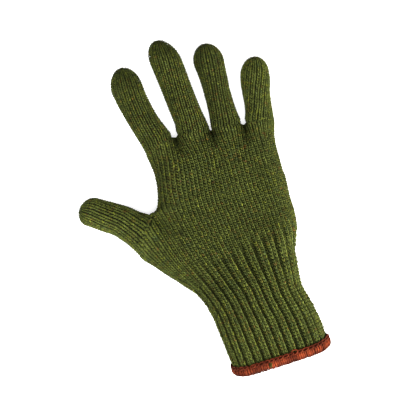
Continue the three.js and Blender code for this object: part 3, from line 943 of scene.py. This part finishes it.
def add_node(tree, kind, links=(), **inputs):
    """A shader node with values set on its inputs by name, and (output, input) pairs linked to it."""
    made = tree.nodes.new("ShaderNode" + kind)
    for name, value in inputs.items():
        made.inputs[name.replace("_", " ")].default_value = value
    for source, into in links:
        tree.links.new(source, made.inputs[into])
    return made


def add_mix(tree, factor, first, second, blend="MIX"):
    """A colour mix of two, by a value or an output."""
    mix = add_node(tree, "Mix")
    mix.data_type = "RGBA"
    mix.blend_type = blend
    for value, into in ((factor, mix.inputs["Factor"]), (first, mix.inputs[6]), (second, mix.inputs[7])):
        if isinstance(value, bpy.types.NodeSocket):
            tree.links.new(value, into)
        else:
            into.default_value = value
    return mix.outputs[2]


def add_noise(tree, where, scale, detail, roughness):
    links = [(where, "Vector")]
    noise = add_node(tree, "TexNoise", links, Scale=scale, Detail=detail, Roughness=roughness)
    return noise.outputs["Fac"]


def heather_colour(tree, where, colours, fleck, fleck_share):
    """Three colours by fine noise, with flecks of another fibre, times the strand's tint."""
    ramp = add_node(tree, "ValToRGB", [(add_noise(tree, where, *FINE_NOISE), "Fac")])
    stops = ramp.color_ramp.elements
    stops.new(0.5)
    for stop, at, colour in zip(stops, (DARK_AT, 0.5, BRIGHT_AT), colours):
        stop.position = at
        stop.color = (*colour, 1)
    broad = [(add_noise(tree, where, *BROAD_NOISE), "Value")]
    flecks = add_node(tree, "MapRange", broad, From_Min=fleck_share, From_Max=fleck_share + FLECK_SOFT)
    flecked = add_mix(tree, flecks.outputs["Result"], ramp.outputs["Color"], (*fleck, 1))
    tint = add_node(tree, "VertexColor")
    tint.layer_name = "tint"
    return add_mix(tree, 1.0, flecked, tint.outputs["Color"], "MULTIPLY")


def yarn_bump(tree, where, twist):
    """The plies' twist and the fuzz on them."""
    yarn = add_node(tree, "UVMap")
    yarn.uv_map = "yarn"
    plies = add_node(tree, "TexWave", [(yarn.outputs["UV"], "Vector")], Scale=1.4, Distortion=1.0)
    plies.bands_direction = "DIAGONAL"
    both = [(add_noise(tree, where, *FUZZ_NOISE), 2), (plies.outputs["Fac"], 3)]
    heights = [(add_node(tree, "Mix", both, Factor=twist).outputs[0], "Height")]
    return add_node(tree, "Bump", heights, Strength=0.7, Distance=BUMP_DEPTH).outputs["Normal"]


def yarn_material(name, dark, middle, bright, fleck, sheen, fleck_share=0.62, twist=0.35):
    """Spun yarn: heather colour, twist and fuzz."""
    material = bpy.data.materials.new(name)
    material.use_nodes = True
    tree = material.node_tree
    tree.nodes.clear()
    where = add_node(tree, "TexCoord").outputs["Object"]
    colour = heather_colour(tree, where, (dark, middle, bright), fleck, fleck_share)
    shader = add_node(
        tree, "BsdfPrincipled", [(colour, "Base Color"), (yarn_bump(tree, where, twist), "Normal")],
        Roughness=ROUGH, Specular_IOR_Level=SPECULAR, Sheen_Weight=sheen, Sheen_Roughness=SHEEN_ROUGH,
        Sheen_Tint=(*bright, 1),
    )
    add_node(tree, "OutputMaterial", [(shader.outputs[0], "Surface")])
    return material


WOOL = yarn_material(
    "heather_wool",
    dark=(0.0092, 0.012, 0.0027),
    middle=(0.0220, 0.0278, 0.0056),
    bright=(0.043, 0.050, 0.0094),
    fleck=(0.036, 0.020, 0.005),
    sheen=0.03,
)
THREAD = yarn_material(
    "hem_thread",
    dark=(0.034, 0.0054, 0.0022),
    middle=(0.058, 0.0096, 0.0031),
    bright=(0.094, 0.0182, 0.0057),
    fleck=(0.036, 0.0055, 0.0035),
    sheen=0.05,
    fleck_share=0.7,
)

# Pieces.
def place(build, name, node_name, slot, material):
    piece = build.made(name, material)
    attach(piece, "root")
    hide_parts(node_name)


def make_knitted(name, node_name, *cloths, slot="plain_knit", close=False, add_more=None):
    """A piece of one or more cloths, each given as how it is knitted and its first and last course."""
    build = Build()
    for knit, first, last in cloths:
        add_stitches(build, knit, first, last)
        add_skin(build, knit, first, last, close)
    if add_more:
        add_more(build)
    place(build, name, node_name, slot, WOOL)


# The overlocked hem: wraps of thread over a roll, and a chain of loops along its edge.
HEM_ACROSS = 3.6  # each way from the middle of the cloth
HEM_PAST = 4.7
HEM_OVER = 3.4
HEM_FROM = 0.75  # angle on the roll where the wraps start, above its outermost line
THREAD_ROUND = np.radians(np.arange(-30, 330, 60))
THREAD_PAINTED_SHADE = np.array([0.35, 0.95, 1.25, 0.95, 0.35, 0.3])[:, None]  # painted shade: the thread is painted darker where it touches the next
WRAP_PITCH = 1.5
WRAP_RADIUS = 0.76
WRAP_SLANT = 1.1
WRAP_STATIONS = 17
WRAP_STRAY = 0.12
WRAP_LIFT = 0.06
WRAP_SWELL = 0.08
WRAP_TURNS = 8
WRAP_SHADES = 0.24
NEIGHBOURS = [0.6, 1, 0.6]  # a wrap's shade runs on into those beside it
# Painted highlight and shade: the thread is painted bright on the roll's outermost and lowest lines, where it
# catches the light, and darker between.
PAINTED_ROLL_LIGHT_LEAST, PAINTED_ROLL_LIGHT_TOP, PAINTED_ROLL_LIGHT_EDGE, PAINTED_ROLL_LIGHT_EDGE_WIDTH = 0.24, 1.2, 1.3, 0.4
ROLL_PITCH = 2.2
ROLL_INSET = 1.0
ROLL_STATIONS = 15
ROLL_TINT = 0.8
ROLL_ENDS = np.array([[1.2, 0], [-0.45, 1.5]])  # how its inner and outer ends turn in and up
LOOP_PITCH = 3.7
LOOP_STATIONS = 15
LOOP_RADIUS = 0.5
LOOP_WIDE = 2.2  # half of a loop, along the edge
LOOP_HIGH = 0.95  # and up the cuff
LOOP_UNDER = 1.1  # how far its middle lies below the top of the wraps
LOOP_SUNK = 0.9
LOOSE_LOOP = (14.0, 12.0)  # where a loop of the chain stands up
LOOSE_BY = 1.2
CAUGHT_AT = -8.0
CAUGHT_RADIUS = 1.35
CAUGHT_TINT = [0.85, 0.5, 0.44]


def mouth_frames(column):
    """At the end of the cuff's cloth: the middle of its wall, the way out of it, and the way up the cuff."""
    here, out = cuff.at(column, np.zeros_like(column))
    ahead, _ = cuff.at(column, np.full_like(column, 0.5))
    along = unit(ahead - here)
    out = unit(out - along * (out * along).sum(-1, keepdims=True))
    return here - out * WALL / 2, out, along


def mouth_columns(pitch):
    """Columns at an even pitch round the mouth."""
    fine = np.linspace(0, cuff.columns, 400, endpoint=False)
    places, _, _ = mouth_frames(fine)
    steps = np.linalg.norm(np.roll(places, -1, 0) - places, axis=1)
    lengths = np.concatenate([[0], np.cumsum(steps)])
    count = round(lengths[-1] / pitch)
    wanted = np.linspace(0, lengths[-1], count, endpoint=False)
    return np.interp(wanted, lengths, np.append(fine, cuff.columns)), cuff.columns / lengths[-1]


def hem_turn(stations):
    """Angles on the rolled section, from above its outer face round the bottom to its inner one."""
    return np.linspace(HEM_FROM, -math.pi - HEM_FROM, stations)


def hem_profile(inset, stations):
    """The rolled section round the cloth's end: across and up."""
    half = (HEM_PAST + HEM_OVER) / 2
    turn = hem_turn(stations)
    return (HEM_ACROSS - inset) * np.cos(turn), (HEM_OVER - HEM_PAST) / 2 + (half - inset) * np.sin(turn)


def add_wraps(build):
    """Thread wrapped over the roll, wrap beside wrap."""
    columns, per_mm = mouth_columns(WRAP_PITCH)
    count = len(columns)
    across, up = hem_profile(WRAP_RADIUS, WRAP_STATIONS)
    slant = WRAP_SLANT * np.linspace(0.5, -0.5, WRAP_STATIONS) * per_mm
    where = columns[:, None] + slant + rng.normal(0, WRAP_STRAY, (count, 1)) * per_mm
    centre, out, along = mouth_frames(where)
    across_by = across + rng.normal(0, WRAP_LIFT, (count, 1))
    up_by = up + rng.normal(0, WRAP_LIFT, (count, 1))
    centres = centre + out * across_by[..., None] + along * up_by[..., None]
    facing = unit(out * across[:, None] + along * (up - up.mean())[:, None])
    swell = rng.normal(1, WRAP_SWELL, count)
    radius = np.broadcast_to((WRAP_RADIUS * swell)[:, None], (count, WRAP_STATIONS))
    yarn = twist_of(np.linspace(0, WRAP_TURNS, WRAP_STATIONS), 1, count, THREAD_ROUND)
    shade = np.convolve(rng.normal(0, WRAP_SHADES, count + 2), NEIGHBOURS, "valid")
    shade = (1 + shade).clip(0.5, 1.5)[:, None, None, None]
    turn = hem_turn(WRAP_STATIONS)
    # painted highlight along the roll's outermost line and its lowest edge, painted shade elsewhere
    edge = np.exp(-(((turn + math.pi / 2) / PAINTED_ROLL_LIGHT_EDGE_WIDTH) ** 2))
    painted_roll_light = PAINTED_ROLL_LIGHT_LEAST + PAINTED_ROLL_LIGHT_TOP * np.cos(turn) ** 6 + PAINTED_ROLL_LIGHT_EDGE * edge
    # painted shade round each wrap, where it touches the next
    tints = shade * painted_roll_light[:, None, None] * THREAD_PAINTED_SHADE
    build.add_grid(tube(centres, facing, radius, THREAD_ROUND), tints, yarn, closed=True)


def add_roll(build):
    """The closed roll under the wraps."""
    ring, _ = mouth_columns(ROLL_PITCH)
    across, up = hem_profile(ROLL_INSET, ROLL_STATIONS)
    across = np.append(across, across[[-1, 0]] + ROLL_ENDS[:, 0])
    up = np.append(up, up[[-1, 0]] + ROLL_ENDS[:, 1])
    centre, out, along = mouth_frames(np.repeat(ring[:, None], len(up), axis=1))
    body = centre + out * across[:, None] + along * up[:, None]
    body = np.concatenate([body, body[:1]])
    build.add_grid(body, ROLL_TINT, closed=True)


def add_chain(build):
    """The chain of loops along the wraps' upper edge, with one that stands up."""
    loops, per_mm = mouth_columns(LOOP_PITCH)
    turn = np.linspace(0, 2 * math.pi, LOOP_STATIONS)
    count = len(loops)
    wide = rng.normal(1.0, 0.1, (count, 1))
    shift = (LOOP_WIDE * np.cos(turn) * wide + rng.normal(0, 0.4, (count, 1))) * per_mm
    high = HEM_OVER - LOOP_UNDER + LOOP_HIGH * np.sin(turn) * wide + 0.35 * np.cos(turn)
    centre, out, along = mouth_frames(loops[:, None] + shift)
    loose = np.argmin(np.hypot(*(centre[:, 0, :2] - LOOSE_LOOP).T) + 99 * (out[:, 0, 2] < 0))
    high[loose] += LOOSE_BY * (1 + np.sin(turn)) / 2
    lift = HEM_ACROSS - LOOP_SUNK - 0.35 * np.sin(turn) + 0.3 * np.cos(turn) + rng.normal(0, 0.1, (count, 1))
    centres = centre + out * lift[..., None] + along * high[..., None]
    chain = tube(centres, out, np.full((count, LOOP_STATIONS), LOOP_RADIUS), THREAD_ROUND)
    shade = rng.normal(0.85, 0.15, (count, 1, 1, 1)).clip(0.5, 1.3)
    # painted shade round each loop of the chain
    build.add_grid(chain, shade * THREAD_PAINTED_SHADE, closed=True)


def make_hem():
    build = Build()
    add_wraps(build)
    add_roll(build)
    add_chain(build)
    place(build, "overlocked_hem", "cuff_hem", "hem_thread", THREAD)


def add_caught_yarn(build):
    """A strand of the cuff's yarn that the overlocking has caught, across the roll."""
    fine = np.linspace(0, CUFF_COLUMNS, 200)
    places, _, _ = mouth_frames(fine)
    column = fine[np.argmin(np.abs(places[:, 0] - CAUGHT_AT))]
    across, up = hem_profile(WRAP_RADIUS, WRAP_STATIONS)
    across, up = across[1:5], up[1:5]
    centre, out, along = mouth_frames(column + np.linspace(0.35, -0.15, len(up)))
    centres = (centre + out * (across + 0.15)[:, None] + along * up[:, None])[None]
    facing = unit(out * across[:, None] + along * (up - up.mean())[:, None])[None]
    strand = tube(centres, facing, np.full((1, len(up)), CAUGHT_RADIUS), THREAD_ROUND)
    build.add_grid(strand, CAUGHT_TINT, closed=True)


make_hem()
make_knitted(
    "ribbed_cuff", "rib_cuff", (CUFF_KNIT, 0, cuff.courses), slot="rib_knit", add_more=add_caught_yarn
)
thumb_parts, knuckles = (course_of(palm, at) for at in (THUMB_PARTS_AT, KNUCKLES_AT))
roots = {name: course_of(digits[name], DIGIT_PARTS_AT) for name in DIGITS}
make_knitted(
    "palm_below_thumb", "lower_palm", (HEEL_KNIT, 0, heel.courses),
    (DIGIT_KNITS["thumb"], 0, roots["thumb"]), (PALM_KNIT, 0, thumb_parts),
)
make_knitted("palm_above_thumb", "upper_palm", (PALM_KNIT, thumb_parts, knuckles))
make_knitted(
    "knuckles_and_crotches", "finger_roots", (PALM_KNIT, knuckles, palm.courses),
    *((DIGIT_KNITS[name], 0, roots[name]) for name in FINGERS),
)
for name in DIGITS:
    node_name = name + "_finger" if name in FINGERS else name
    make_knitted(
        "knitted_" + name, node_name, (DIGIT_KNITS[name], roots[name], digits[name].courses), close=True
    )

# Stage, light and camera.
FLOOR_SIZE = 6.0
FLOOR_GLOW = 0.75  # the paper is lit from behind, as far as the picture shows it
VIEW_CENTRE = (0.0093, -0.0020)
VIEW_TURN = -18.0  # degrees: the fingers point up and a little to the right in the picture
VIEW_WIDTH = 0.3091
VIEW_HEIGHT = 1.3
LEVEL_SEEN = 0.014  # height at which the view is that wide
SENSOR = 36.0
FLOOR_DROP = 0.0002
FLOOR_GREY = 0.6
WORLD_LIGHT = 0.45
LIGHT_SIZE = 0.8
LIGHTS = {  # place, watts, colour
    "left_light": ((-1.0, -0.35, 0.5), 36, (1.0, 0.99, 0.97)),
    "right_light": ((0.85, -0.75, 0.55), 80, (1.0, 0.97, 0.90)),
    "top_light": ((0.0, -0.4, 1.1), 16, (1.0, 1.0, 1.0)),
}


def make_floor():
    mesh = bpy.data.meshes.new("floor")
    half = FLOOR_SIZE / 2
    corners = [(-half, -half), (half, -half), (half, half), (-half, half)]
    mesh.from_pydata([(x, y, -FLOOR_DROP) for x, y in corners], [], [(0, 1, 2, 3)])
    material = bpy.data.materials.new("floor_paper")
    material.use_nodes = True
    tree = material.node_tree
    shader = tree.nodes["Principled BSDF"]
    shader.inputs["Base Color"].default_value = (FLOOR_GREY, FLOOR_GREY, FLOOR_GREY, 1)
    shader.inputs["Emission Color"].default_value = (1, 1, 1, 1)
    glow = add_node(tree, "Math", [(add_node(tree, "LightPath").outputs["Is Camera Ray"], 0)])
    glow.operation = "MULTIPLY"
    glow.inputs[1].default_value = FLOOR_GLOW
    tree.links.new(glow.outputs[0], shader.inputs["Emission Strength"])
    shader.inputs["Roughness"].default_value = ROUGH
    mesh.materials.append(material)
    add_object("floor", mesh)


def make_light():
    for name, (at, power, colour) in LIGHTS.items():
        light = bpy.data.lights.new(name, "AREA")
        light.energy = power
        light.size = LIGHT_SIZE
        light.color = colour
        obj = add_object(name, light)
        obj.location = at
        obj.rotation_euler = (-obj.location).to_track_quat("-Z", "Y").to_euler()
    world = bpy.data.worlds.new("studio")
    world.use_nodes = True
    sky = world.node_tree.nodes["Background"].inputs
    sky["Color"].default_value = (1, 1, 1, 1)
    sky["Strength"].default_value = WORLD_LIGHT
    bpy.context.scene.world = world


def make_camera():
    data = bpy.data.cameras.new("camera")
    data.sensor_width = SENSOR
    data.lens = SENSOR * (VIEW_HEIGHT - LEVEL_SEEN) / VIEW_WIDTH
    camera = add_object("camera", data)
    camera.location = (*VIEW_CENTRE, VIEW_HEIGHT)
    camera.rotation_euler = (0, 0, math.radians(VIEW_TURN))
    bpy.context.scene.camera = camera


make_floor()
make_light()
make_camera()
bpy.context.scene.view_settings.view_transform = "Standard"
